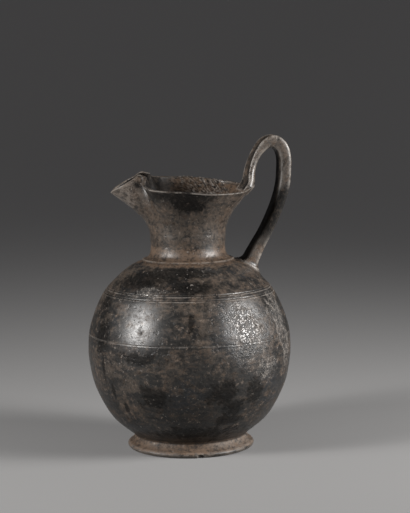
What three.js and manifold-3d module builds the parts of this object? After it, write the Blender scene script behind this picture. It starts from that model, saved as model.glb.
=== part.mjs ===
// Oinochoe: a wheel-thrown pouring jug of dark burnished ware, fired as one piece.
// Millimetres, +Z up. The origin is the centre of the foot's underside, on the jug's axis.
// The strap handle stands at +X. The spout points to -X, turned a few degrees towards +Y.
import * as THREE from "three";
import { mergeVertices } from "three/addons/utils/BufferGeometryUtils.js";
import Module from "manifold-3d";

// Driving dimensions of the whole jug
const FOOT_RADIUS = 59.2;
const CREASE_RADIUS = 52.4;
const CREASE_HEIGHT = 12;
const BODY_RADIUS = 94.4;
const BODY_WIDEST_HEIGHT = 95;
const COLLAR_RADIUS = 42.4;
const COLLAR_HEIGHT = 176.3;
const NECK_RADIUS = 34.8;
const NECK_HEIGHT = 188;
const MOUTH_START_HEIGHT = 198;
const MOUTH_START_RADIUS = 35.4;
const RIM_HEIGHT = 243.2;
const HANDLE_TOP = 288.8;
const HANDLE_REACH = 96.2;

// Wall and floor
const WALL = 5.2;
const FLOOR_TOP = 14.5;
const RECESS_DEPTH = 6;
const REST_RING_INNER = 44.5;
const REST_RING_OUTER = 56;

// Turned lines: two round the shoulder and one round the belly
const SHOULDER_LINES = [150.6, 146.6];
const BELLY_LINE = 108;
const LINE_DEPTH = 0.6;
const LINE_HALF_WIDTH = 1;
const LINE_CLEARANCE = 1.8;

// Mouth: how many degrees the spout stands off the handle's plane, and for each millimetre towards +Y
// how far the edge is pushed towards the handle and how far it rises, so that its -Y side dips
const MOUTH_TURN = 8;
const MOUTH_SKEW = 0.07;
const MOUTH_LEAN = 0.07;

// How the mouth's wall leaves the neck: the pull of the two middle points of a cubic curve from neck to
// rim, outwards for the second one and upwards for both.
const FLARE_LATE = 0.56;
const RISE_EARLY = 0.38;
const RISE_LATE = 0.68;
const MOUTH_ROWS = 8;

// The lip is thinner than the wall, cut level, and rounded up between its two edges.
const LIP_THICKNESS = 4.2;
const LIP_BULGE = 1.3;
const LIP_THINS_FROM = 0.5;

const point = (x, y) => new THREE.Vector2(x, y);

// A smooth curve through points of radius and height, as evenly spaced samples.
function smoothProfile(points, count) {
  const curve = new THREE.CatmullRomCurve3(
    points.map(([r, z]) => new THREE.Vector3(r, 0, z)),
    false,
    "centripetal",
  );
  return curve.getSpacedPoints(count).map((p) => point(p.x, p.z));
}

// The foot's underside and its flared skirt, from the axis out and up to the crease under the body.
function footProfile() {
  const underside = [
    point(0, RECESS_DEPTH),
    point(36, RECESS_DEPTH - 0.4),
    point(42, RECESS_DEPTH - 2.4),
    point(REST_RING_INNER, 0),
    point(REST_RING_OUTER, 0),
  ];
  const skirt = [
    point(FOOT_RADIUS - 0.8, 1),
    point(FOOT_RADIUS, 2.8),
    point(FOOT_RADIUS - 0.8, 4.7),
    point(FOOT_RADIUS - 3.4, 6.6),
    point(FOOT_RADIUS - 5.6, 9),
  ];
  return [...underside, ...skirt];
}

// The body, collar and neck as the hand follows them from the foot's crease to where the mouth opens.
const BODY_POINTS = [
  [CREASE_RADIUS, CREASE_HEIGHT],
  [56, 15.2],
  [63.2, 20.8],
  [73, 30],
  [82.4, 45],
  [90.4, 64],
  [94, 84],
  [BODY_RADIUS, BODY_WIDEST_HEIGHT],
  [93.3, 109],
  [89.8, 122],
  [84.2, 136.5],
  [77.6, 148.4],
  [67.4, 159],
  [57, 167.8],
  [49.4, 172.3],
  [COLLAR_RADIUS + 1, COLLAR_HEIGHT - 1.4],
  [COLLAR_RADIUS, COLLAR_HEIGHT],
  [39, 177.3],
  [36.4, 179.6],
  [35.2, 183],
  [NECK_RADIUS, NECK_HEIGHT],
  [MOUTH_START_RADIUS, MOUTH_START_HEIGHT],
];

// Rows of the outside of body and neck, with three rows for each turned line.
function bodyProfile() {
  const even = smoothProfile(BODY_POINTS, 24);
  const fine = smoothProfile(BODY_POINTS, 600);
  const radiusAt = (height) => {
    const next = fine.findIndex((p) => p.y >= height);
    const below = fine[next - 1];
    const above = fine[next];
    return THREE.MathUtils.mapLinear(height, below.y, above.y, below.x, above.x);
  };
  const lines = [...SHOULDER_LINES, BELLY_LINE];
  const clear = even.filter((p) => lines.every((z) => Math.abs(p.y - z) > LINE_CLEARANCE));
  for (const z of lines) {
    clear.push(point(radiusAt(z - LINE_HALF_WIDTH), z - LINE_HALF_WIDTH));
    clear.push(point(radiusAt(z) - LINE_DEPTH, z));
    clear.push(point(radiusAt(z + LINE_HALF_WIDTH), z + LINE_HALF_WIDTH));
  }
  return clear.sort((a, b) => a.y - b.y);
}

// The inside of the body: the smooth outside moved in by the wall, down to a gently dished floor.
function insideProfile() {
  const outside = smoothProfile(BODY_POINTS, 32);
  const inside = [];
  for (let i = 1; i < outside.length - 1; i += 2) {
    const along = outside[i + 1].clone().sub(outside[i - 1]).normalize();
    const inward = point(-along.y, along.x);
    const moved = outside[i].clone().addScaledVector(inward, WALL);
    if (moved.y > FLOOR_TOP + 3.5) inside.push(moved);
  }
  const floor = [point(0, FLOOR_TOP), point(22, FLOOR_TOP + 0.2), point(38, FLOOR_TOP + 1)];
  return [...floor, ...inside];
}

// Half of the mouth's outer edge, from the spout's tip round the pinch to the handle: x, y, height above
// the rim, how far it was pressed in, and into how many columns the stretch after the point is divided.
const MOUTH_HALF = [
  [-71, 0, -5.6, 0, 2],
  [-67.4, 10.5, -2, 1.5, 2],
  [-58.4, 17.6, 2.4, 4, 2],
  [-49.4, 16.2, 6.8, 9, 2],
  [-42.8, 12.2, 11.2, 15.5, 2],
  [-39.4, 14, 9.8, 17, 2],
  [-39.2, 21, 7.8, 12, 2],
  [-38.8, 30.5, 4.8, 5.5, 2],
  [-32.4, 41.5, 2.4, 1, 2],
  [-18, 49.2, 1.2, 0, 2],
  [2, 52, 0.4, 0, 2],
  [22, 49.4, -1.8, 0, 2],
  [41, 39.4, -3, 0, 2],
  [54, 25, -3.4, 0, 1],
  [60, 10.5, -2, 0, 1],
  [61.2, 0, -1, 0, 1],
];

// A closed curve through half an edge and its mirror image, as one ring of points.
function ringThrough(half) {
  const mirrorImage = (points) => points.reverse().map((p) => new THREE.Vector3(p.x, -p.y, p.z));
  const controls = [...half, ...mirrorImage(half.slice(1, -1))];
  const curve = new THREE.CatmullRomCurve3(controls, true, "centripetal");
  const ring = [];
  MOUTH_HALF.slice(0, -1).forEach(([, , , , columns], i) => {
    for (let k = 0; k < columns; k += 1) ring.push(curve.getPoint((i + k / columns) / controls.length));
  });
  return [...ring, half[half.length - 1].clone(), ...mirrorImage(ring.slice(1))];
}

// The mouth's edge leaned, skewed and turned with the spout.
function setAskew(ring) {
  const turn = THREE.MathUtils.degToRad(MOUTH_TURN);
  const upright = new THREE.Vector3(0, 0, 1);
  return ring.map((p) => {
    const askew = new THREE.Vector3(p.x + MOUTH_SKEW * p.y, p.y, p.z + RIM_HEIGHT + MOUTH_LEAN * p.y);
    return askew.applyAxisAngle(upright, -turn);
  });
}

// The mouth's pinched edge, the same edge before it was pinched, and how far round each point lies.
function mouthRing() {
  const pinched = ringThrough(MOUTH_HALF.map(([x, y, z]) => new THREE.Vector3(x, y, z)));
  const round = ringThrough(MOUTH_HALF.map(([x, y, z, pressed]) => new THREE.Vector3(x, y + pressed, z)));
  const halfCount = pinched.length / 2;
  const travelled = [0];
  for (let i = 1; i <= halfCount; i += 1) {
    travelled.push(travelled[i - 1] + pinched[i].distanceTo(pinched[i - 1]));
  }
  const half = travelled.map((length) => Math.PI * (1 - length / travelled[halfCount]));
  const whole = [...half, ...half.slice(1, -1).reverse().map((angle) => -angle)];
  const turn = THREE.MathUtils.degToRad(MOUTH_TURN);
  return { pinched: setAskew(pinched), round: setAskew(round), angles: whole.map((angle) => angle - turn) };
}

// Rows of the outside of the mouth: each column rises from the round neck to its point of the rim, and
// the fold under the pinch deepens towards the rim.
function mouthRows({ pinched, round, angles }) {
  const rows = [];
  for (let row = 1; row <= MOUTH_ROWS; row += 1) {
    const t = row / MOUTH_ROWS;
    const early = 3 * (1 - t) ** 2 * t;
    const late = 3 * (1 - t) * t * t;
    const flare = FLARE_LATE * late + t ** 3;
    const rise = RISE_EARLY * early + RISE_LATE * late + t ** 3;
    rows.push(
      angles.map((angle, i) => {
        const edge = round[i].clone().lerp(pinched[i], t * t);
        return new THREE.Vector3(
          THREE.MathUtils.lerp(MOUTH_START_RADIUS * Math.cos(angle), edge.x, flare),
          THREE.MathUtils.lerp(MOUTH_START_RADIUS * Math.sin(angle), edge.y, flare),
          THREE.MathUtils.lerp(MOUTH_START_HEIGHT, edge.z, rise),
        );
      }),
    );
  }
  return rows;
}

// A profile turned round the axis: one round row for each of its points.
const turned = (profile, angles) =>
  profile.map((p) => angles.map((a) => new THREE.Vector3(p.x * Math.cos(a), p.x * Math.sin(a), p.y)));

// The same rows moved in by the wall's thickness: square to the surface, and level at the lip.
function insideRows(rows) {
  const columns = rows[0].length;
  return rows.slice(1).map((row, k) => {
    const level = THREE.MathUtils.smoothstep((k + 1) / (rows.length - 1), LIP_THINS_FROM, 1);
    const thickness = THREE.MathUtils.lerp(WALL, LIP_THICKNESS, level);
    return row.map((p, i) => {
      const around = row[(i + columns - 1) % columns].clone().sub(row[(i + 1) % columns]);
      const above = rows[k + 2] ?? row;
      const normal = around.cross(above[i].clone().sub(rows[k][i])).normalize();
      normal.z *= 1 - level;
      return p.clone().addScaledVector(normal.normalize(), -thickness);
    });
  });
}

// Closes rows of equal length into one skin between two points on the axis.
function skin(rows, first, last) {
  const columns = rows[0].length;
  const vertices = [first, ...rows.flat(), last];
  const at = (row, column) => 1 + row * columns + (column % columns);
  const faces = [];
  for (let i = 0; i < columns; i += 1) {
    faces.push(0, at(0, i), at(0, i + 1));
    for (let row = 0; row < rows.length - 1; row += 1) {
      faces.push(at(row, i), at(row + 1, i), at(row + 1, i + 1));
      faces.push(at(row, i), at(row + 1, i + 1), at(row, i + 1));
    }
    faces.push(at(rows.length - 1, i), vertices.length - 1, at(rows.length - 1, i + 1));
  }
  const geometry = new THREE.BufferGeometry();
  geometry.setFromPoints(vertices);
  geometry.setIndex(faces);
  return geometry;
}

// Foot, body, neck and mouth: one hollow wall, open at the mouth.
function vesselGeometry() {
  const mouth = mouthRing();
  const outerBody = bodyProfile();
  const outer = [...turned(footProfile().slice(1), mouth.angles), ...turned(outerBody, mouth.angles)];
  const outerMouth = mouthRows(mouth);
  const lastRound = turned([outerBody[outerBody.length - 1]], mouth.angles)[0];
  const innerMouth = insideRows([lastRound, ...outerMouth]);
  const edge = outerMouth[MOUTH_ROWS - 1];
  const innerEdge = innerMouth[MOUTH_ROWS - 1];
  const lip = edge.map((p, i) => p.clone().lerp(innerEdge[i], 0.5).add(new THREE.Vector3(0, 0, LIP_BULGE)));
  const innerBody = turned(insideProfile().slice(1), mouth.angles);
  const rows = [...outer, ...outerMouth, lip, ...innerMouth.reverse(), ...innerBody.reverse()];
  return skin(rows, new THREE.Vector3(0, 0, RECESS_DEPTH), new THREE.Vector3(0, 0, FLOOR_TOP));
}

// The strap's middle line in the plane of the handle, from inside the rim's wall to inside the shoulder:
// x, z, strap width, thickness, and the radius the strap is wrapped to across its width (0 for flat).
const HANDLE_STATIONS = [
  [54.4, 236.6, 38, 3.6, 44],
  [58.6, 242, 40, 5, 44],
  [60, 246.6, 37, 6, 46],
  [59.6, 251.4, 33, 6.4, 54],
  [59.8, 257, 29, 6.4, 90],
  [61.8, 265, 25.5, 6.6, 0],
  [66.4, 273.4, 25, 7.8, 0],
  [73.4, HANDLE_TOP - 8.2, 25, 10.4, 0],
  [80.8, HANDLE_TOP - 6.4, 25, 12.6, 0],
  [87.6, 277.6, 25, 11.8, 0],
  [HANDLE_REACH - 5.5, 268.6, 25, 10.8, 0],
  [HANDLE_REACH - 5.3, 256, 25, 10.6, 0],
  [89.9, 244, 25, 10.6, 0],
  [87, 232, 25, 10.2, 0],
  [82.6, 220, 25, 9.8, 0],
  [77.2, 208, 25.2, 9.6, 0],
  [71.2, 196, 25.6, 9.6, 0],
  [65, 185, 26.5, 10, 150],
  [61.8, 178, 28.2, 11, 90],
  [59.6, 173.2, 31, 13.4, 70],
  [57.6, 169.6, 36, 17.4, 60],
  [55.8, 166.4, 40, 20, 58],
];
const HANDLE_HOLLOW = 1.9;
const HANDLE_EDGE = 1.6;
const HANDLE_STEPS = 40;

// One cross-section of the strap: a flat-backed band whose outer face is hollowed between raised edges.
// Where it is smoothed on to the shoulder it becomes an oval pad: oval is 0 for the band, 1 for the pad.
function strapSection(width, thickness, hollow, oval) {
  const side = width / 2;
  const back = -thickness / 2;
  const front = thickness / 2;
  const half = [
    [0, front - hollow],
    [side * 0.45, front - hollow * 0.72],
    [side - 2 * HANDLE_EDGE, front - hollow * 0.2],
    [side - HANDLE_EDGE, front],
    [side, front - HANDLE_EDGE],
    [side, back + HANDLE_EDGE],
    [side - HANDLE_EDGE, back],
    [0, back - 0.6],
  ];
  const rounded = half.map(([y, n]) => {
    const reach = THREE.MathUtils.lerp(1, 1 / Math.hypot(y / side, n / front), oval);
    return [y * reach, n * reach];
  });
  const mirrored = rounded.slice(1, -1).reverse().map(([y, n]) => [-y, n]);
  return [...rounded, ...mirrored];
}

// The strap handle, swept along its line.
function handleGeometry() {
  const path = new THREE.CatmullRomCurve3(
    HANDLE_STATIONS.map(([x, z]) => new THREE.Vector3(x, 0, z)),
    false,
    "centripetal",
  );
  const last = HANDLE_STATIONS.length - 1;
  const bendOf = (wrapRadius) => (wrapRadius > 0 ? 1 / wrapRadius : 0);
  const strapAt = (t) => {
    const before = Math.min(Math.floor(t * last), last - 1);
    const between = (first, second) => THREE.MathUtils.lerp(first, second, t * last - before);
    const [, , width, thickness, wrapRadius] = HANDLE_STATIONS[before];
    const [, , nextWidth, nextThickness, nextWrapRadius] = HANDLE_STATIONS[before + 1];
    return {
      width: between(width, nextWidth),
      thickness: between(thickness, nextThickness),
      bend: between(bendOf(wrapRadius), bendOf(nextWrapRadius)),
    };
  };
  const rows = [];
  const centres = [];
  for (let step = 0; step <= HANDLE_STEPS; step += 1) {
    const t = step / HANDLE_STEPS;
    const centre = path.getPoint(t);
    const along = path.getTangent(t);
    const outward = new THREE.Vector3(-along.z, 0, along.x);
    const fade = THREE.MathUtils.smoothstep(t, 0.05, 0.2) * (1 - THREE.MathUtils.smoothstep(t, 0.8, 0.93));
    const oval = THREE.MathUtils.smoothstep(t, 0.84, 0.96);
    const { width, thickness, bend } = strapAt(t);
    centres.push(centre);
    rows.push(
      strapSection(width, thickness, HANDLE_HOLLOW * fade, oval).map(([y, n]) => {
        const placed = centre.clone().addScaledVector(outward, n);
        placed.y = y;
        placed.x -= (bend * y * y) / 2;
        return placed;
      }),
    );
  }
  return skin(rows, centres[0], centres[HANDLE_STEPS]);
}

const wasm = await Module();
wasm.setup();

// A closed geometry as a solid that can be joined with another, and back.
function solidOf(geometry) {
  const bare = geometry.clone();
  bare.deleteAttribute("normal");
  bare.deleteAttribute("uv");
  const merged = mergeVertices(bare, 1e-4);
  const mesh = new wasm.Mesh({
    numProp: 3,
    vertProperties: new Float32Array(merged.attributes.position.array),
    triVerts: new Uint32Array(merged.index.array),
  });
  return new wasm.Manifold(mesh);
}

function geometryOf(solid) {
  const mesh = solid.getMesh();
  const geometry = new THREE.BufferGeometry();
  geometry.setAttribute("position", new THREE.BufferAttribute(mesh.vertProperties, mesh.numProp));
  geometry.setIndex(new THREE.BufferAttribute(mesh.triVerts, 1));
  geometry.computeVertexNormals();
  return geometry;
}

// Dark grey burnished ware with a low sheen
const burnishedWare = new THREE.MeshStandardMaterial({
  color: 0x3a3835,
  roughness: 0.42,
  metalness: 0,
});

const jug = solidOf(vesselGeometry()).add(solidOf(handleGeometry()));
const oinochoe = new THREE.Mesh(geometryOf(jug), burnishedWare);
oinochoe.name = "oinochoe";

const part = new THREE.Group();
part.add(oinochoe);

export default part;
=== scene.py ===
import math
import bpy
import numpy as np
from mathutils import Matrix, Vector, noise
from mathutils.bvhtree import BVHTree


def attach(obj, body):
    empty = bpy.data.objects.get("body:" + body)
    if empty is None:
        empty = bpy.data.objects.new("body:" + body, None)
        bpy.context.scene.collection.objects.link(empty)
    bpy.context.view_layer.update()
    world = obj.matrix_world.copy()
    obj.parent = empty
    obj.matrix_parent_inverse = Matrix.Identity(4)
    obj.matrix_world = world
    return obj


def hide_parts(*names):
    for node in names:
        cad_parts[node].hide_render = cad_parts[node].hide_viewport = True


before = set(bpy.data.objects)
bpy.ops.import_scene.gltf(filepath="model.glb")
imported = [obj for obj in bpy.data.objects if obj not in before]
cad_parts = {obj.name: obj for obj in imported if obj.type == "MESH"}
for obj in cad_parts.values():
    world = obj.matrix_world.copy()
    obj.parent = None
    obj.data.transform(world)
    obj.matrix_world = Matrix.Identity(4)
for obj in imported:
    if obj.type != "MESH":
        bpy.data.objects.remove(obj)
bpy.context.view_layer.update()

# Camera
# A long lens a metre and a half in front of the jug, a little above its rim and rolled a touch,
# with the jug left of the middle of the picture.

CAMERA_AZIMUTH = math.radians(-8)
CAMERA_DISTANCE = 1.497
CAMERA_HEIGHT = 0.352
CAMERA_PITCH = math.radians(6.66)
CAMERA_ROLL = math.radians(-0.93)

lens = bpy.data.cameras.new("camera")
lens.sensor_fit = "VERTICAL"
lens.sensor_height = 36
lens.lens = 114.2
lens.shift_x = 0.033
camera = bpy.data.objects.new("camera", lens)
bpy.context.collection.objects.link(camera)
stand = Matrix.Translation((
    math.sin(CAMERA_AZIMUTH) * CAMERA_DISTANCE,
    -math.cos(CAMERA_AZIMUTH) * CAMERA_DISTANCE,
    CAMERA_HEIGHT,
))
heading = Matrix.Rotation(CAMERA_AZIMUTH, 4, "Z")
tilt = Matrix.Rotation(math.pi / 2 - CAMERA_PITCH, 4, "X")
roll = Matrix.Rotation(CAMERA_ROLL, 4, "Z")
camera.matrix_world = stand @ heading @ tilt @ roll
bpy.context.scene.camera = camera

# Jug: foot and body
# One fired piece of dark clay with its handle and mouth. The foot and body are thrown on the wheel:
# a flared foot, a round belly with three turned lines, and a soft collar under the narrow neck.
# Lengths of the jug are in millimetres, and become metres when its mesh is made.

FOOT_RADIUS = 59.2
CREASE_RADIUS = 52.4
CREASE_HEIGHT = 12
COLLAR_RADIUS = 42.4
COLLAR_HEIGHT = 176.3
NECK_RADIUS = 34.8
MOUTH_START_HEIGHT = 198
MOUTH_START_RADIUS = 35.4
WALL = 5.2
FLOOR_TOP = 14.5
RECESS_DEPTH = 6
SHOULDER_LINES = (150.6, 146.6)
BELLY_LINE = 108
LINE_HALF_WIDTH = 0.45
LINE_REACH = 1.8
LINE_ROWS = 15
LINE_RIDGE = 0.12
COLUMNS = 256
BODY_ROWS = 150

BODY_POINTS = [
    (CREASE_RADIUS, CREASE_HEIGHT),
    (56, 15.2),
    (63.2, 20.8),
    (73, 30),
    (82.4, 45),
    (90.4, 64),
    (94, 84),
    (94.4, 95),
    (93.3, 109),
    (89.8, 122),
    (84.2, 136.5),
    (77.6, 148.4),
    (67.4, 159),
    (57, 167.8),
    (49.4, 172.3),
    (COLLAR_RADIUS + 1, COLLAR_HEIGHT - 1.4),
    (COLLAR_RADIUS, COLLAR_HEIGHT),
    (39, 177.3),
    (36.4, 179.6),
    (35.2, 183),
    (NECK_RADIUS, 188),
    (MOUTH_START_RADIUS, MOUTH_START_HEIGHT),
]


def curve_through(points, shares, closed=False):
    """Points of a smooth curve through the given ones, at shares of its spans from 0 to 1."""
    points = np.array(points, float)
    spans = len(points) if closed else len(points) - 1
    if closed:
        padded = np.vstack([points[-1:], points, points[:2]])
    else:
        padded = np.vstack([2 * points[0] - points[1], points, 2 * points[-1] - points[-2]])
    place = np.clip(np.asarray(shares) * spans, 0, spans - 1e-9)
    first = place.astype(int)
    share = (place - first)[:, None]
    p0, p1, p2, p3 = (padded[first + k] for k in range(4))
    knots = [np.linalg.norm(b - a, axis=1)[:, None] ** 0.5 for a, b in ((p0, p1), (p1, p2), (p2, p3))]
    d0, d1, d2 = knots
    leaving = ((p1 - p0) / d0 - (p2 - p0) / (d0 + d1) + (p2 - p1) / d1) * d1
    arriving = ((p2 - p1) / d1 - (p3 - p1) / (d1 + d2) + (p3 - p2) / d2) * d1
    square = 3 * (p2 - p1) - 2 * leaving - arriving
    cube = 2 * (p1 - p2) + leaving + arriving
    return p1 + leaving * share + square * share ** 2 + cube * share ** 3


def shares_by_length(points, closed=False):
    """Fine shares of the curve and the length travelled to each of them."""
    shares = np.linspace(0, 1, 6001)
    fine = curve_through(points, shares, closed)
    steps = np.linalg.norm(np.diff(fine, axis=0), axis=1)
    return shares, np.concatenate([[0], np.cumsum(steps)])


def turned(profile, angles):
    """Each (radius, height) of a profile as a round row of points."""
    profile = np.array(profile, float)
    radius = profile[:, :1]
    height = np.repeat(profile[:, 1:], len(angles), axis=1)
    return np.stack([radius * np.cos(angles), radius * np.sin(angles), height], axis=2)


UNDERSIDE = [
    (14, RECESS_DEPTH),
    (30, RECESS_DEPTH - 0.2),
    (37, RECESS_DEPTH - 0.6),
    (41, RECESS_DEPTH - 2),
    (43.4, RECESS_DEPTH - 4.4),
    (44.6, 0.5),
    (45.6, 0),
    (50, 0),
    (55.6, 0),
]
SKIRT = [
    (57, 0.15),
    (FOOT_RADIUS - 0.9, 1),
    (FOOT_RADIUS - 0.1, 2.8),
    (FOOT_RADIUS - 0.8, 4.7),
    (FOOT_RADIUS - 3.4, 6.6),
    (FOOT_RADIUS - 5.6, 9),
    (CREASE_RADIUS, CREASE_HEIGHT - 0.3),
]
skirt_rows = curve_through(SKIRT, np.linspace(0, 1, 22))

body_shares, body_lengths = shares_by_length(BODY_POINTS)
body_fine = curve_through(BODY_POINTS, body_shares)
row_lengths = list(np.linspace(0, body_lengths[-1], BODY_ROWS))
for line in (*SHOULDER_LINES, BELLY_LINE):
    middle = np.interp(line, body_fine[:, 1], body_lengths)
    row_lengths = [a for a in row_lengths if abs(a - middle) > LINE_REACH + 0.1]
    row_lengths += list(middle + np.linspace(-LINE_REACH, LINE_REACH, LINE_ROWS))
row_shares = np.interp(sorted(row_lengths), body_lengths, body_shares)
body_rows = curve_through(BODY_POINTS, row_shares)
for line, depth in ((SHOULDER_LINES[0], 0.42), (SHOULDER_LINES[1], 0.36), (BELLY_LINE, 0.18)):
    away = (body_rows[:, 1] - line) / LINE_HALF_WIDTH
    ridge = LINE_RIDGE * np.exp(-((np.abs(away) - 1.9) / 0.8) ** 2)
    body_rows[:, 0] += depth * (ridge - np.exp(-away ** 2))

# Jug: mouth
# The mouth flares from the neck and was pinched between finger and thumb into a spout, a little
# askew, so that its near side dips. Its wall thins towards a lip that is cut level and rounded.

MOUTH_TURN = math.radians(8)
MOUTH_SKEW = 0.07
MOUTH_LEAN = 0.07
RIM_HEIGHT = 243.2
FLARE_LATE = 0.56
RISE_EARLY = 0.38
RISE_LATE = 0.68
LIP_THICKNESS = 4.2
LIP_BULGE = 1.3
LIP_THINS_FROM = 0.5
MOUTH_ROWS = 38
LIP_ROWS = 7

# Half of its edge, from the spout's tip round the pinch to the handle: x, y, height above the rim, and
# how far it was pressed in.
MOUTH_HALF = [
    (-71, 0, -5.6, 0),
    (-67.4, 10.5, -2, 1.5),
    (-58.4, 17.6, 2.4, 4),
    (-49.4, 16.2, 6.8, 9),
    (-42.8, 12.2, 11.2, 15.5),
    (-39.4, 14, 9.8, 17),
    (-39.2, 21, 7.8, 12),
    (-38.8, 30.5, 4.8, 5.5),
    (-32.4, 41.5, 2.4, 1),
    (-18, 49.2, 1.2, 0),
    (2, 52, 0.4, 0),
    (22, 49.4, -1.8, 0),
    (41, 39.4, -3, 0),
    (54, 25, -3.4, 0),
    (60, 10.5, -2, 0),
    (61.2, 0, -1, 0),
]
around = np.arange(COLUMNS) / COLUMNS
turn = np.array([
    [math.cos(MOUTH_TURN), math.sin(MOUTH_TURN), 0],
    [-math.sin(MOUTH_TURN), math.cos(MOUTH_TURN), 0],
    [0, 0, 1],
])


def whole_edge(half):
    """Half an edge and its mirror image."""
    return half + [(x, -y, z) for x, y, z in half[-2:0:-1]]


def set_askew(ring):
    """The mouth's edge leaned, skewed and turned with the spout."""
    askew = ring.copy()
    askew[:, 2] += RIM_HEIGHT + MOUTH_LEAN * ring[:, 1]
    askew[:, 0] += MOUTH_SKEW * ring[:, 1]
    return askew @ turn.T


pinched_edge = whole_edge([(x, y, z) for x, y, z, pressed in MOUTH_HALF])
round_edge = whole_edge([(x, y + pressed, z) for x, y, z, pressed in MOUTH_HALF])
edge_shares, edge_lengths = shares_by_length(pinched_edge, closed=True)
even_shares = np.interp(around * edge_lengths[-1], edge_lengths, edge_shares)
pinched = set_askew(curve_through(pinched_edge, even_shares, closed=True))
unpinched = set_askew(curve_through(round_edge, even_shares, closed=True))
angles = math.pi - 2 * math.pi * around - MOUTH_TURN

start = turned([(MOUTH_START_RADIUS, MOUTH_START_HEIGHT)], angles)[0]
mouth_rows = []
mouth_steps = np.linspace(0, 1, MOUTH_ROWS + 1)[1:]
for t in mouth_steps:
    early = 3 * (1 - t) ** 2 * t
    late = 3 * (1 - t) * t * t
    flare = FLARE_LATE * late + t ** 3
    rise = RISE_EARLY * early + RISE_LATE * late + t ** 3
    edge = unpinched + (pinched - unpinched) * t * t
    mouth_rows.append(start + (edge - start) * np.array([flare, flare, rise]))
mouth_rows = np.array(mouth_rows)


def outward_normals(rows):
    """The unit normal at each point of rows that climb while their columns run clockwise."""
    across = np.roll(rows, 1, axis=1) - np.roll(rows, -1, axis=1)
    up = np.gradient(rows, axis=0)
    normals = np.cross(across, up)
    return normals / np.linalg.norm(normals, axis=2, keepdims=True)


level = np.clip((mouth_steps - LIP_THINS_FROM) / (1 - LIP_THINS_FROM), 0, 1)
level = (level * level * (3 - 2 * level))[:, None]
inward = -outward_normals(mouth_rows)
inward[:, :, 2] *= 1 - level
inward /= np.linalg.norm(inward, axis=2, keepdims=True)
inner_mouth = mouth_rows + inward * (WALL + (LIP_THICKNESS - WALL) * level)[:, :, None]
lip_rows = []
for turn_over in np.linspace(0, math.pi, LIP_ROWS + 2)[1:-1]:
    across_wall = (1 - math.cos(turn_over)) / 2
    lip = mouth_rows[-1] * (1 - across_wall) + inner_mouth[-1] * across_wall
    lip[:, 2] += LIP_BULGE * math.sin(turn_over)
    lip_rows.append(lip)

outside_fine = curve_through(BODY_POINTS, np.linspace(0, 1, 40))
along = np.gradient(outside_fine, axis=0)
along /= np.linalg.norm(along, axis=1, keepdims=True)
inside_fine = outside_fine + WALL * np.stack([-along[:, 1], along[:, 0]], axis=1)
over_floor = inside_fine[:, 1] > FLOOR_TOP + 3.5
under_mouth = inside_fine[:, 1] < MOUTH_START_HEIGHT - 0.4
inside_fine = inside_fine[over_floor & under_mouth]
floor_points = [(20, FLOOR_TOP + 0.2), (38, FLOOR_TOP + 1), tuple(inside_fine[0])]
inner_body = np.vstack([curve_through(floor_points, np.linspace(0, 1, 9))[:-1], inside_fine])

outside = np.concatenate([
    turned(UNDERSIDE, angles),
    turned(skirt_rows, angles),
    turned(body_rows, angles),
    mouth_rows,
    np.array(lip_rows),
])
inside = np.concatenate([inner_mouth[::-1], turned(inner_body[::-1], angles)])


def skin(rows, first, last):
    """One closed skin over rows of equal length, between two end points: its points and faces."""
    count, columns = rows.shape[:2]
    points = np.vstack([[first], rows.reshape(-1, 3), [last]])
    faces = []
    for i in range(columns):
        j = (i + 1) % columns
        faces.append((0, 1 + i, 1 + j))
        for row in range(count - 1):
            a, b = 1 + row * columns, 1 + (row + 1) * columns
            faces.append((a + i, b + i, b + j, a + j))
        top = 1 + (count - 1) * columns
        faces.append((top + i, len(points) - 1, top + j))
    return points, faces


vessel_points, vessel_faces = skin(
    np.concatenate([outside, inside]), (0, 0, RECESS_DEPTH), (0, 0, FLOOR_TOP),
)

# Jug: handle
# A strap of clay hollowed between two rolled edges. It is wrapped on to the rim, rises over it in a
# high loop, and comes down to a smoothed pad on the shoulder, where fingers drew the clay out.

HANDLE_TOP = 288.8
HANDLE_REACH = 96.2
HANDLE_HOLLOW = 1.9
ROLLED_EDGE = 1.6
ROLLED_WIDTH = 3.2
BACK_EDGE = 1.8
BACK_HOLLOW = 0.6

# The middle of the strap from the rim over the loop to the shoulder: x, height, width, thickness, and
# how sharply it is bent round the pot, as one over a radius.
HANDLE_STATIONS = np.array([
    (54.4, 236.6, 38, 3.6, 1 / 44),
    (58.6, 242, 40, 5, 1 / 44),
    (60, 246.6, 37, 6, 1 / 46),
    (59.6, 251.4, 33, 6.4, 1 / 54),
    (59.8, 257, 29, 6.4, 1 / 90),
    (61.8, 265, 25.5, 6.6, 0),
    (66.4, 273.4, 25, 7.8, 0),
    (73.4, HANDLE_TOP - 8.2, 25, 10.4, 0),
    (80.8, HANDLE_TOP - 6.4, 25, 12.6, 0),
    (87.6, 277.6, 25, 11.8, 0),
    (HANDLE_REACH - 5.5, 268.6, 25, 10.8, 0),
    (HANDLE_REACH - 5.3, 256, 25, 10.6, 0),
    (89.9, 244, 25, 10.6, 0),
    (87, 232, 25, 10.2, 0),
    (82.6, 220, 25, 9.8, 0),
    (77.2, 208, 25.2, 9.6, 0),
    (71.2, 196, 25.6, 9.6, 0),
    (65, 185, 26.5, 10, 1 / 150),
    (61.8, 178, 28.2, 11, 1 / 90),
    (59.6, 173.2, 31, 13.4, 1 / 70),
    (57.6, 169.6, 36, 17.4, 1 / 60),
    (55.8, 166.4, 40, 20, 1 / 58),
])
HANDLE_ROWS = 170
HANDLE_COLUMNS = 48


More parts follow.
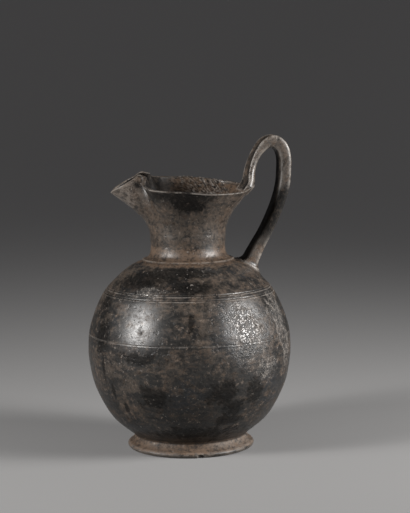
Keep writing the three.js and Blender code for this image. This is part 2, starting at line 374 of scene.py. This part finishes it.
def strap_section(width, thickness, hollow, oval):
    """The strap cut across: hollowed between raised edges, or an oval pad where oval is 1."""
    side, back, front = width / 2, -thickness / 2, thickness / 2
    half = [
        (0, front - hollow),
        (side * 0.45, front - hollow * 0.72),
        (side - ROLLED_WIDTH, front - hollow * 0.2),
        (side - ROLLED_EDGE, front),
        (side, front - ROLLED_EDGE),
        (side, back + BACK_EDGE),
        (side - BACK_EDGE, back),
        (0, back - BACK_HOLLOW),
    ]
    rounded = []
    for y, n in half:
        reach = 1 + oval * (1 / math.hypot(y / side, n / front) - 1)
        rounded.append((y * reach, n * reach))
    whole = rounded + [(-y, n) for y, n in rounded[-2:0:-1]]
    shares, lengths = shares_by_length(whole, closed=True)
    wanted = np.arange(HANDLE_COLUMNS) / HANDLE_COLUMNS * lengths[-1]
    return curve_through(whole, np.interp(wanted, lengths, shares), closed=True)


def fade(value, low, high):
    """0 below low and 1 above high, eased between them."""
    t = min(max((value - low) / (high - low), 0), 1)
    return t * t * (3 - 2 * t)


strap_line = HANDLE_STATIONS[:, :2]
strap_shares, strap_lengths = shares_by_length(strap_line)
row_shares = np.interp(np.linspace(0, strap_lengths[-1], HANDLE_ROWS), strap_lengths, strap_shares)
centres = curve_through(strap_line, row_shares)
strap_along = np.gradient(centres, axis=0)
strap_along /= np.linalg.norm(strap_along, axis=1, keepdims=True)
station_places = np.linspace(0, 1, len(HANDLE_STATIONS))
easing = np.hanning(15)[1:-1] / np.hanning(15).sum()
handle_rows = []
strap_sizes = []
for column in (2, 3, 4):
    sizes = np.interp(row_shares, station_places, HANDLE_STATIONS[:, column])
    strap_sizes.append(np.convolve(np.pad(sizes, 6, mode="edge"), easing, mode="valid"))
for t, centre, (dx, dz), width, thickness, bend in zip(row_shares, centres, strap_along, *strap_sizes):
    hollow = HANDLE_HOLLOW * fade(t, 0.05, 0.2) * (1 - fade(t, 0.8, 0.93))
    section = strap_section(width, thickness, hollow, fade(t, 0.84, 0.96))
    y, n = section[:, 0], section[:, 1]
    handle_rows.append(np.stack([centre[0] - dz * n - bend * y * y / 2, y, centre[1] + dx * n], axis=1))
handle_rows = np.array(handle_rows)
handle_points, handle_faces = skin(
    handle_rows, handle_rows[0].mean(axis=0), handle_rows[-1].mean(axis=0),
)

# Jug: joining the handle and working the surface
# Wet clay was smoothed into the corners between strap and pot. The whole skin is a little uneven
# from the hand, with faint throwing rings, chipped, and rubbed pale where it stands out; on the strap's
# edges that paleness is also a painted highlight.

ROOT_FILLET_LOW = 8
ROOT_FILLET_HIGH = 4
SWELL_DEPTH = 0.34
LUMP_DEPTH = 0.1
RING_DEPTH = 0.07
GRAIN_DEPTH = 0.035
WORKED_INWARD = 0.42
CRUST_BOTTOM = 226
CRUST_NEAREST = 12
CRUST_LEFT = -12
CRUST_RIGHT = 46
CHIP_ANGLE = 1
CHIP_HEIGHT = 1.6
CHIP_WIDTH = 6
CHIP_DEPTH = 1.6


def vertex_normals(points, faces):
    """The unit normal at each point of a mesh."""
    mesh = bpy.data.meshes.new("normals")
    mesh.from_pydata(points.tolist(), [], faces)
    normals = np.empty(len(points) * 3)
    mesh.vertex_normals.foreach_get("vector", normals)
    bpy.data.meshes.remove(mesh)
    return normals.reshape(-1, 3)


def drawn_out(points, normals, chosen, neighbour):
    """Points near another skin, drawn out along their normals so that the corner between is filled."""
    moved = points.copy()
    for i in chosen:
        height = points[i, 2]
        size = ROOT_FILLET_HIGH if height > 215 else ROOT_FILLET_LOW
        place, normal, _, distance = neighbour.find_nearest(Vector(points[i]), size)
        if place is None:
            continue
        if (Vector(points[i]) - place).dot(normal) < 0:
            distance = 0
        step = (math.sqrt(size) - math.sqrt(max(distance, size / 4))) ** 2
        moved[i] += normals[i] * step
    return moved


vessel_normals = vertex_normals(vessel_points, vessel_faces)
handle_normals = vertex_normals(handle_points, handle_faces)
vessel_tree = BVHTree.FromPolygons([Vector(p) for p in vessel_points], vessel_faces)
handle_tree = BVHTree.FromPolygons([Vector(p) for p in handle_points], handle_faces)
outside_count = outside.shape[0] * COLUMNS
near_handle = [
    i for i, (x, y, z) in enumerate(vessel_points)
    if x > 30 and abs(y) < 45 and z > 140 and (i <= outside_count or z > 215)
]
near_vessel = [i for i, (x, y, z) in enumerate(handle_points) if z < 205 or (z < 262 and x < 72)]
vessel_points = drawn_out(vessel_points, vessel_normals, near_handle, handle_tree)
handle_points = drawn_out(handle_points, handle_normals, near_vessel, vessel_tree)

jug_points = np.vstack([vessel_points, handle_points])
first_of_handle = len(vessel_points)
jug_faces = vessel_faces + [tuple(first_of_handle + i for i in face) for face in handle_faces]
jug_normals = vertex_normals(jug_points, jug_faces)


def unevenness(place):
    """How far the surface stands out of true at a point, by the hand and the wheel."""
    swell = noise.noise(place * 0.022) * SWELL_DEPTH
    lumps = noise.noise(place * 0.09 + Vector((7, 3, 1))) * LUMP_DEPTH
    rings = noise.noise(Vector((place.z * 0.22, place.x * 0.02, place.y * 0.02))) * RING_DEPTH
    grain = noise.noise(place * 0.42 + Vector((2, 9, 4))) * GRAIN_DEPTH
    return swell + lumps + rings + grain - WORKED_INWARD


def crust(place):
    """How far burnt-on earth stands out along the far side of the rim and inside it."""
    if place.z < CRUST_BOTTOM or place.y < CRUST_NEAREST or not CRUST_LEFT <= place.x <= CRUST_RIGHT:
        return 0
    reach = fade(place.z, CRUST_BOTTOM, CRUST_BOTTOM + 10)
    reach *= fade(place.y, CRUST_NEAREST, CRUST_NEAREST + 14)
    reach *= fade(place.x, CRUST_LEFT, CRUST_LEFT + 16)
    reach *= 1 - fade(place.x, CRUST_RIGHT - 12, CRUST_RIGHT)
    return reach * (noise.noise(place * 0.32) * 1.1 + noise.noise(place * 0.8) * 0.7 - 0.1)


def dent(place):
    """How far the foot's chip goes in at a point."""
    across = (math.atan2(place.x, -place.y) - math.radians(CHIP_ANGLE)) * FOOT_RADIUS
    reach = math.hypot(across / CHIP_WIDTH * 2, (place.z - CHIP_HEIGHT) / CHIP_WIDTH * 2.6)
    return CHIP_DEPTH * (1 - fade(reach + noise.noise(place * 0.5) * 0.5, 0.4, 1.1))


offsets = np.array([unevenness(Vector(p)) for p in jug_points])
offsets *= np.clip(jug_points[:, 2] / 4, 0, 1)
for i in np.flatnonzero((jug_points[:, 2] < 8) & (jug_points[:, 1] < -50)):
    offsets[i] -= dent(Vector(jug_points[i]))
for i in np.flatnonzero(jug_points[:first_of_handle, 2] > CRUST_BOTTOM):
    offsets[i] += crust(Vector(jug_points[i]))
jug_points = jug_points + jug_normals * offsets[:, None]
jug_points[:, 2] = np.maximum(jug_points[:, 2], 0)

jug_mesh = bpy.data.meshes.new("oinochoe")
jug_mesh.from_pydata((jug_points / 1000).tolist(), [], jug_faces)
jug_mesh.shade_smooth()

# How far each point stands out from its neighbours: where it stands out the skin is rubbed pale, and
# where it lies hollow it gets painted shade, with dirt in the turned lines
edges = np.empty(len(jug_mesh.edges) * 2, int)
jug_mesh.edges.foreach_get("vertices", edges)
edges = edges.reshape(-1, 2)
bow = np.zeros(len(jug_points))
weight = np.zeros(len(jug_points))
worked_normals = vertex_normals(jug_points, jug_faces)
for a, b in (edges.T, edges.T[::-1]):
    gap = jug_points[a] - jug_points[b]
    length = np.linalg.norm(gap, axis=1) + 1e-6
    np.add.at(bow, a, (gap * worked_normals[a]).sum(axis=1) / length)
    np.add.at(weight, a, 1)
bow /= np.maximum(weight, 1)
rubbed_and_highlit = np.clip(bow * 4, 0, 1)
# On the strap the rubbed paleness is doubled, as a painted highlight along its edges
rubbed_and_highlit[first_of_handle:] = np.clip(rubbed_and_highlit[first_of_handle:] * 2, 0, 1)
# Painted shade in hollows and creases, with dirt in the turned lines
hollowed = np.clip(-bow * 5, 0, 1)


def ramp(values, none, full):
    """0 where values are at none and 1 at full, in a straight line between them."""
    return np.clip((values - none) / (full - none), 0, 1)


# Painted shade on the strap's inner face and in the groove of its near leg, and soot low on its far leg
soot_and_painted_shade = np.zeros(len(jug_points))
strap_travel = np.repeat(np.linspace(0, 1, HANDLE_ROWS), HANDLE_COLUMNS)
strap_column = np.tile(np.arange(HANDLE_COLUMNS), HANDLE_ROWS) / HANDLE_COLUMNS
strap_heights = jug_points[first_of_handle + 1:-1, 2]
inner_face = ramp(np.abs(strap_column - 0.5), 0.252, 0.112) * ramp(strap_travel, 0.3, 0.425)
from_groove = np.minimum(strap_column, 1 - strap_column)
groove = ramp(from_groove, 0.117, 0.027) * ramp(strap_travel, 0.42, 0.42 - 1 / 12)
low_leg = ramp(strap_heights, 248, 236) * ramp(strap_heights, 178, 202) * ramp(strap_travel, 0.45, 0.55)
soot_and_painted_shade[first_of_handle + 1:-1] = np.maximum(np.maximum(inner_face, groove), low_leg)

# Painted shadow inside the spout's end of the mouth, and earth in the rest of it
inner_from = outside_count + 1
inner_to = first_of_handle - 1
inner_places = jug_points[inner_from:inner_to]
soot_and_painted_shade[inner_from:inner_to] = ramp(inner_places[:, 0], -8, -22)
earthen = np.zeros(len(jug_points))
earthen[inner_from:inner_to] = ramp(inner_places[:, 0], -16, -4) * ramp(inner_places[:, 2], 190, 220)
stored = {"rubbed_and_highlit": rubbed_and_highlit, "hollowed": hollowed, "soot_and_painted_shade": soot_and_painted_shade, "earthen": earthen}
for name, values in stored.items():
    jug_mesh.attributes.new(name, "FLOAT", "POINT").data.foreach_set("value", values)
jug = bpy.data.objects.new("oinochoe_ware", jug_mesh)
bpy.context.collection.objects.link(jug)

# Jug: burnished ware
# Clay smoked black and rubbed to a low sheen, cool grey-black where the skin is whole, umber and taupe
# where it is worn through, tan with earth at foot and collar. On the right it is broken into fine flecks.

ware = bpy.data.materials.new("burnished_ware")
ware.use_nodes = True
nodes = ware.node_tree.nodes
links = ware.node_tree.links
nodes.clear()
where = nodes.new("ShaderNodeTexCoord").outputs["Object"]
parted = nodes.new("ShaderNodeSeparateXYZ")
links.new(where, parted.inputs[0])
sideways = parted.outputs["X"]
height = parted.outputs["Z"]


def feed(socket, value):
    """Links a socket, or sets it to a plain value."""
    if isinstance(value, bpy.types.NodeSocket):
        links.new(value, socket)
    else:
        socket.default_value = value


def cloud(size, detail=5, roughness=0.6, stretch=(1, 1, 1), swirl=0.0, start=(0, 0, 0)):
    """Soft mottling whose spots are about size metres across."""
    mapping = nodes.new("ShaderNodeMapping")
    links.new(where, mapping.inputs["Vector"])
    mapping.inputs["Scale"].default_value = stretch
    mapping.inputs["Location"].default_value = start
    texture = nodes.new("ShaderNodeTexNoise")
    links.new(mapping.outputs[0], texture.inputs["Vector"])
    texture.inputs["Scale"].default_value = 0.5 / size
    texture.inputs["Detail"].default_value = detail
    texture.inputs["Roughness"].default_value = roughness
    texture.inputs["Distortion"].default_value = swirl
    return texture.outputs["Fac"]


def rise_from(value, low, high, top=1.0):
    """0 at low and top at high, eased between them."""
    ease = nodes.new("ShaderNodeMapRange")
    ease.interpolation_type = "SMOOTHSTEP"
    feed(ease.inputs["Value"], value)
    ease.inputs["From Min"].default_value = low
    ease.inputs["From Max"].default_value = high
    ease.inputs["To Max"].default_value = top
    return ease.outputs[0]


def sums(operation, first, second):
    """One sum of two values."""
    node = nodes.new("ShaderNodeMath")
    node.operation = operation
    feed(node.inputs[0], first)
    feed(node.inputs[1], second)
    return node.outputs[0]


def both(*shares):
    """The product of shares from 0 to 1."""
    product = shares[0]
    for share in shares[1:]:
        product = sums("MULTIPLY", product, share)
    return product


def over(share, below, above):
    """One colour laid over another by a share from 0 to 1."""
    node = nodes.new("ShaderNodeMix")
    node.data_type = "RGBA"
    feed(node.inputs["Factor"], share)
    feed(node.inputs["A"], below)
    feed(node.inputs["B"], above)
    return node.outputs["Result"]


ragged = sums("SUBTRACT", cloud(0.006, 8, 0.72, swirl=0.3), 0.5)


def band(low, high, soft):
    """1 between two heights, given in metres, and 0 beyond them, with soft uneven edges."""
    level = sums("ADD", height, sums("MULTIPLY", ragged, soft * 3))
    return both(rise_from(level, low - soft, low + soft), rise_from(level, high + soft, high - soft))


OUTLINE_HEIGHTS = np.concatenate([body_fine[:, 1], [RIM_HEIGHT]])
OUTLINE_RADII = np.concatenate([body_fine[:, 0], [48]])


def blots(places):
    """Ragged blots: each an angle in degrees from the front, a height, a width and a tallness."""
    covered = 0.0
    for angle, level, wide, tall in places:
        radius = np.interp(level, OUTLINE_HEIGHTS, OUTLINE_RADII)
        turned_to = math.radians(angle)
        centre = Vector((math.sin(turned_to) * radius, -math.cos(turned_to) * radius, level)) / 1000
        away = nodes.new("ShaderNodeMapping")
        away.vector_type = "TEXTURE"
        links.new(where, away.inputs["Vector"])
        away.inputs["Location"].default_value = centre
        away.inputs["Scale"].default_value = (wide / 2000, wide / 2000, tall / 2000)
        reach = nodes.new("ShaderNodeVectorMath")
        reach.operation = "LENGTH"
        links.new(away.outputs[0], reach.inputs[0])
        edge = sums("ADD", reach.outputs["Value"], sums("MULTIPLY", ragged, 3.2))
        covered = sums("MAXIMUM", covered, rise_from(edge, 1.35, 0.45))
    return covered


def kept(name):
    """Values that were stored on the mesh."""
    node = nodes.new("ShaderNodeAttribute")
    node.attribute_name = name
    return node.outputs["Fac"]


BLACK = (0.0056, 0.0054, 0.0053, 1)
GREY = (0.0125, 0.012, 0.0115, 1)
STEEL = (0.009, 0.0105, 0.0125, 1)
# Soot black, also used as painted shade in hollows and on the strap
SOOT_AND_SHADE = (0.0022, 0.0021, 0.002, 1)
UMBER = (0.0215, 0.0168, 0.013, 1)
TAUPE = (0.046, 0.0362, 0.0285, 1)
EARTH = (0.08, 0.053, 0.0355, 1)
PALE = (0.18, 0.163, 0.147, 1)

# Mottling from broad clouds down to the finest grain
slow = cloud(0.03, 6, 0.62, swirl=0.5)
speck = cloud(0.0036, 7, 0.8, swirl=0.4)
fleck = cloud(0.0024, 6, 0.8, start=(0.7, 0.3, 0.5))
streaks = cloud(0.005, 6, 0.75, stretch=(0.45, 0.45, 1.4), start=(0.2, 0.5, 0.3))
rough_speck = sums("ADD", both(speck, 0.6), both(streaks, 0.4))


def mottled(share, gap, grain=rough_speck, soft=0.13):
    """A share broken up into specks and streaks: the higher it is, the fewer gaps are left."""
    return rise_from(sums("ADD", grain, both(share, 0.2)), gap, gap + soft)


def rest_of(share):
    """What a share leaves of the whole."""
    return sums("SUBTRACT", 1.0, share)


# The whole skin, thinly worn to umber and taupe in clouds, and cooler in places; low down the worn film
# is held back as painted shade, so the lower body is darker
colour = over(rise_from(slow, 0.4, 0.62), BLACK, GREY)
film = rise_from(cloud(0.022, 7, 0.68, swirl=0.4, start=(0.3, 0.1, 0)), 0.42, 0.62)
# Painted shade: less worn film low on the body, so it stays darker there
low_body_painted_shade = rise_from(height, 0.1, 0.035)
film = both(film, rest_of(both(low_body_painted_shade, 0.55)))
colour = over(both(mottled(film, 0.52, soft=0.24), 0.9), colour, UMBER)
colour = over(both(mottled(film, 0.58, fleck, soft=0.1), 0.55), colour, TAUPE)
steel_places = [
    (15, 115, 40, 44), (47, 62, 34, 40), (-11, 62, 30, 34),
    (-46, 28, 26, 16), (-57, 127, 12, 9), (40, 166, 22, 12),
]
colour = over(both(blots(steel_places), rise_from(speck, 0.6, 0.48), 0.85), colour, STEEL)

# Brown places, from the foot up to the neck; the last two, on the right of the shoulder and neck, are
# painted light that brightens that side
brown_and_painted_light_places = [
    (20, 27, 46, 14), (-54, 45, 14, 36), (-48, 47, 28, 30), (-70, 70, 26, 30), (57, 75, 22, 16),
    (10, 88, 24, 30), (-74, 88, 12, 50), (-20, 90, 40, 30), (52, 108, 30, 26), (-45, 125, 16, 12),
    (-55, 136, 14, 18), (-4, 138, 26, 34), (-22, 146, 44, 16), (40, 156, 28, 12), (27, 163, 36, 14),
    (54, 170, 34, 20), (62, 206, 30, 56),
]
brown = blots(brown_and_painted_light_places)
colour = over(both(mottled(brown, 0.55, soft=0.3), 0.75), colour, TAUPE)
colour = over(both(mottled(brown, 0.68, fleck), 0.5), colour, EARTH)

# The neck's worn film, thinnest in the middle of its front, and the earth inside the mouth
neck_share = band(0.184, 0.3, 0.006)
neck_middle = blots([(-8, 206, 44, 30)])
neck_film = both(neck_share, rise_from(slow, 0.3, 0.55), rest_of(both(neck_middle, 0.8)))
neck_worn = sums("ADD", both(neck_share, 0.5), both(neck_film, 0.5))
colour = over(both(mottled(neck_worn, 0.56), 0.9), colour, TAUPE)
colour = over(both(mottled(neck_film, 0.66, fleck), 0.45), colour, EARTH)
earthen_inside = kept("earthen")
colour = over(both(mottled(earthen_inside, 0.56), 0.9), colour, TAUPE)
colour = over(both(mottled(earthen_inside, 0.56, fleck), 0.9), colour, EARTH)

# The handle's loop, the spout, the shoulder, the collar, the foot with painted light on its right side,
# and its lower edge
loop_share = both(rise_from(sideways, 0.05, 0.056), rise_from(height, 0.236, 0.25))
colour = over(both(mottled(loop_share, 0.5, streaks), 0.7), colour, UMBER)
colour = over(both(mottled(loop_share, 0.68, fleck), 0.4), colour, EARTH)
spout_share = both(rise_from(sideways, -0.04, -0.056), rise_from(height, 0.21, 0.222))
colour = over(both(mottled(spout_share, 0.54), 0.8), colour, TAUPE)
colour = over(both(mottled(spout_share, 0.56), 0.5), colour, EARTH)
colour = over(both(mottled(spout_share, 0.58, fleck), 0.4), colour, PALE)
shoulder_clouds = rise_from(cloud(0.016, 6, start=(0.1, 0.9, 0)), 0.4, 0.6)
shoulder_share = both(band(0.152, 0.176, 0.007), shoulder_clouds)
colour = over(both(mottled(shoulder_share, 0.59), 0.8), colour, TAUPE)
collar_share = band(0.1725, 0.188, 0.003)
colour = over(both(mottled(collar_share, 0.54), 0.85), colour, EARTH)
foot_share = band(0.0035, 0.0135, 0.0012)
colour = over(both(mottled(foot_share, 0.5), 0.9), colour, EARTH)
# Painted light: a pale share on the right of the foot, brightening that side
foot_right_painted_light = both(foot_share, blots([(52, 8, 60, 40)]))
colour = over(both(foot_right_painted_light, rise_from(speck, 0.4, 0.55), 0.3), colour, PALE)
edge_share = band(-0.01, 0.0035, 0.0012)
colour = over(both(mottled(edge_share, 0.56), 0.7), colour, TAUPE)

# The finest dark grain, soot from the foot up to the rim, and dark scars
colour = over(both(rise_from(streaks, 0.48, 0.32), 0.8), colour, BLACK)
colour = over(both(rise_from(fleck, 0.5, 0.39), 0.75), colour, BLACK)
soot_places = [
    (0, 25, 90, 16), (17, 38, 36, 13), (-51, 48, 6, 44), (18, 50, 28, 26), (-58, 60, 5, 50),
    (-30, 60, 30, 24), (33, 62, 20, 30), (12, 63, 30, 26), (-64, 82, 5, 34), (-36, 96, 40, 12),
    (-66, 113, 20, 40), (-7, 130, 7, 34), (-75, 140, 20, 30), (53, 141, 20, 16), (-7, 156, 34, 13),
    (-55, 160, 50, 17), (-32, 166, 56, 11), (-8, 168, 40, 9), (-21, 170, 30, 7), (-3, 229, 30, 18),
    (-7, 236, 52, 14), (-37, 237, 36, 9), (-54, 239, 18, 26),
]
soot = mottled(blots(soot_places), 0.47, speck, soft=0.24)
colour = over(both(soot, 0.92), colour, SOOT_AND_SHADE)
rim_stain = blots([(-22, 235, 64, 22), (0, 228, 40, 26)])
colour = over(both(mottled(rim_stain, 0.5, soft=0.34), 0.75), colour, BLACK)
scar_places = [
    (18, 38.5, 16, 2), (-32, 41, 14, 1.4), (-38, 113, 8, 1.4), (-44, 118, 12, 1.6), (-43, 149, 4, 2),
]
colour = over(both(blots(scar_places), 0.9), colour, SOOT_AND_SHADE)

# Flecks: where the skin has crazed, it is left as glossy crumbs between matt cracks
CRUMB_SIZE = 0.0019
CRUMB_DRIFT = 0.002
fleck_places = [
    (38, 84, 28, 24), (62, 96, 22, 34), (27, 120, 42, 56), (58, 130, 28, 66), (-38, 152, 40, 10),
]
fleck_share = blots(fleck_places)
crazing = nodes.new("ShaderNodeTexVoronoi")
crazing.feature = "F1"
crazing.inputs["Scale"].default_value = 1 / CRUMB_SIZE
crazing.inputs["Randomness"].default_value = 1
drift = nodes.new("ShaderNodeTexNoise")
drift.inputs["Scale"].default_value = 300
drift.inputs["Detail"].default_value = 3
links.new(where, drift.inputs["Vector"])
drifted = nodes.new("ShaderNodeVectorMath")
drifted.operation = "MULTIPLY_ADD"
links.new(drift.outputs["Color"], drifted.inputs[0])
drifted.inputs[1].default_value = (CRUMB_DRIFT, CRUMB_DRIFT, CRUMB_DRIFT)
links.new(where, drifted.inputs[2])
links.new(drifted.outputs[0], crazing.inputs["Vector"])
crumb = rise_from(crazing.outputs["Distance"], 0.6, 0.3)
cracks = both(fleck_share, rest_of(crumb))
colour = over(both(mottled(fleck_share, 0.62, fleck), 0.4), colour, PALE)
colour = over(both(fleck_share, crumb, rise_from(fleck, 0.44, 0.58), 0.5), colour, PALE)
colour = over(both(cracks, 0.6), colour, BLACK)
specks = rise_from(cloud(0.0013, 2, 0.5, start=(0.5, 0.2, 0.9)), 0.66, 0.72)
colour = over(both(specks, rise_from(slow, 0.58, 0.44), 0.45), colour, PALE)


def distance_from(value, level):
    """How far a value is from a level."""
    return sums("ABSOLUTE", sums("SUBTRACT", value, level), 0.0)


# Scratches, the turned lines' worn edges, rubbed pale edges with a painted highlight on the strap,
# painted shade in hollows, and the soot and painted shade kept on the mesh
long_clouds = cloud(0.02, 3, 0.5, stretch=(0.35, 0.35, 2.2), swirl=1.2)
scratches = rise_from(distance_from(long_clouds, 0.5), 0.006, 0.002)
scratched = rise_from(cloud(0.02, 3, start=(0.4, 0.4, 0.1)), 0.52, 0.6)
colour = over(both(scratches, scratched, 0.4), colour, TAUPE)
EDGE_UNDER_LINE = 1.1
worn_in_parts = both(rise_from(slow, 0.38, 0.52), rise_from(speck, 0.4, 0.52))
worn_edges = [(BELLY_LINE, 0.45)]
worn_edges += [(line - EDGE_UNDER_LINE, 0.4) for line in SHOULDER_LINES]
for level, strength in worn_edges:
    worn_edge = rise_from(distance_from(height, level / 1000), 0.0006, 0.0002)
    colour = over(both(worn_edge, worn_in_parts, strength), colour, PALE)
# Rubbed pale on raised edges; on the strap's edges it is a painted highlight
colour = over(both(kept("rubbed_and_highlit"), rise_from(speck, 0.38, 0.56), 0.75), colour, PALE)
# Painted shade in hollows and creases, with dirt in the turned lines
colour = over(both(kept("hollowed"), 0.8), colour, SOOT_AND_SHADE)
# Painted shade on the strap's inner face, its groove and inside the spout's end, and soot low on the far
# leg
soot_and_painted_shade = both(kept("soot_and_painted_shade"), rise_from(rough_speck, 0.66, 0.56, 0.94))
colour = over(soot_and_painted_shade, colour, SOOT_AND_SHADE)
colour = over(both(mottled(kept("soot_and_painted_shade"), 0.66, fleck), rise_from(slow, 0.42, 0.55), 0.5), colour, TAUPE)

# Sheen and fine relief
earthy = sums("MAXIMUM", collar_share, foot_share)
roughness = sums("ADD", 0.33, both(mottled(sums("MAXIMUM", film, brown), 0.64), 0.12))
roughness = sums("ADD", roughness, both(rise_from(rough_speck, 0.44, 0.6), 0.16))
roughness = sums("ADD", roughness, both(cracks, 0.26))
roughness = sums("SUBTRACT", roughness, both(fleck_share, crumb, 0.12))
roughness = sums("ADD", roughness, both(earthy, 0.06))
roughness = sums("ADD", roughness, both(foot_share, 0.2))
roughness = sums("ADD", roughness, both(soot_and_painted_shade, 0.2))

pits = rise_from(cloud(0.0022, 3, 0.55, start=(0.5, 0.5, 0.2)), 0.4, 0.3)
relief = both(fleck, 0.5)
relief = sums("ADD", relief, both(streaks, 0.6))
relief = sums("SUBTRACT", relief, both(pits, 0.6))
relief = sums("SUBTRACT", relief, both(cracks, 0.8))
bump = nodes.new("ShaderNodeBump")
bump.inputs["Strength"].default_value = 0.7
bump.inputs["Distance"].default_value = 0.0003
links.new(relief, bump.inputs["Height"])

shader = nodes.new("ShaderNodeBsdfPrincipled")
links.new(colour, shader.inputs["Base Color"])
links.new(roughness, shader.inputs["Roughness"])
links.new(bump.outputs[0], shader.inputs["Normal"])
shader.inputs["IOR"].default_value = 1.43
matt = sums("MAXIMUM", both(soot, 0.8), both(soot_and_painted_shade, 0.8))
matt = sums("MAXIMUM", matt, both(low_body_painted_shade, 0.35))
links.new(sums("SUBTRACT", 0.5, both(matt, 0.45)), shader.inputs["Specular IOR Level"])
result = nodes.new("ShaderNodeOutputMaterial")
links.new(shader.outputs[0], result.inputs["Surface"])

jug_mesh.materials.append(ware)
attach(jug, "root")
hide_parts("oinochoe")

# Floor and studio light
# A plain pale floor that sweeps up into a grey wall all round, far from the jug, and a soft box with
# a brighter middle on either side of the camera.

SWEEP_START = 2.8
SWEEP_RADIUS = 2
SWEEP_STEPS = 24
SWEEP_COLUMNS = 96
WALL_TOP = 5
sweep_line = [(SWEEP_START, 0)]
for bend in np.linspace(0, math.pi / 2, SWEEP_STEPS + 1)[1:]:
    sweep_line.append((
        SWEEP_START + SWEEP_RADIUS * math.sin(bend),
        SWEEP_RADIUS * (1 - math.cos(bend)),
    ))
sweep_line.append((SWEEP_START + SWEEP_RADIUS, WALL_TOP))
sweep_rows = turned(sweep_line, np.linspace(0, 2 * math.pi, SWEEP_COLUMNS + 1)[:-1])
sweep_faces = [tuple(range(SWEEP_COLUMNS))]
for row in range(len(sweep_line) - 1):
    for i in range(SWEEP_COLUMNS):
        j = (i + 1) % SWEEP_COLUMNS
        low = row * SWEEP_COLUMNS
        high = low + SWEEP_COLUMNS
        sweep_faces.append((low + j, low + i, high + i, high + j))
floor_mesh = bpy.data.meshes.new("floor")
floor_mesh.from_pydata(sweep_rows.reshape(-1, 3).tolist(), [], sweep_faces)
floor_mesh.shade_smooth()
floor = bpy.data.objects.new("floor", floor_mesh)
bpy.context.collection.objects.link(floor)
floor_finish = bpy.data.materials.new("floor_finish")
floor_finish.use_nodes = True
floor_shader = floor_finish.node_tree.nodes["Principled BSDF"]
floor_shader.inputs["Base Color"].default_value = (0.165, 0.165, 0.165, 1)
floor_shader.inputs["Emission Color"].default_value = (0.04, 0.039, 0.0395, 1)
floor_shader.inputs["Emission Strength"].default_value = 1
floor_shader.inputs["Roughness"].default_value = 0.7
floor_mesh.materials.append(floor_finish)

room = bpy.data.worlds.new("room")
room.use_nodes = True
room.node_tree.nodes["Background"].inputs["Color"].default_value = (0.026, 0.026, 0.027, 1)
bpy.context.scene.world = room
bpy.context.scene.view_settings.view_transform = "Standard"

AIM = Vector((0, 0, 0.12))
LIGHT_SPREAD = math.radians(90)


def soft_box(name, azimuth, elevation, distance, width, tallness, watts):
    """A round soft box that faces the jug."""
    data = bpy.data.lights.new(name, "AREA")
    data.shape = "ELLIPSE"
    data.size = width
    data.size_y = tallness
    data.energy = watts
    data.color = (1, 0.98, 0.96)
    data.spread = LIGHT_SPREAD
    light = bpy.data.objects.new(name, data)
    bpy.context.collection.objects.link(light)
    turned_by = math.radians(azimuth)
    raised_by = math.radians(elevation)
    level = math.cos(raised_by)
    back = Vector((math.sin(turned_by) * level, -math.cos(turned_by) * level, math.sin(raised_by)))
    light.location = AIM + back * distance
    light.rotation_euler = back.to_track_quat("Z", "Y").to_euler()


soft_box("left_box", azimuth=-70, elevation=23, distance=1.5, width=0.66, tallness=0.7, watts=7)
soft_box("left_lamp", azimuth=-70, elevation=20, distance=1.45, width=0.22, tallness=0.3, watts=3)
soft_box("right_box", azimuth=64, elevation=20, distance=1.5, width=0.78, tallness=0.72, watts=13)
soft_box("right_lamp", azimuth=64, elevation=17, distance=1.45, width=0.22, tallness=0.3, watts=1.9)
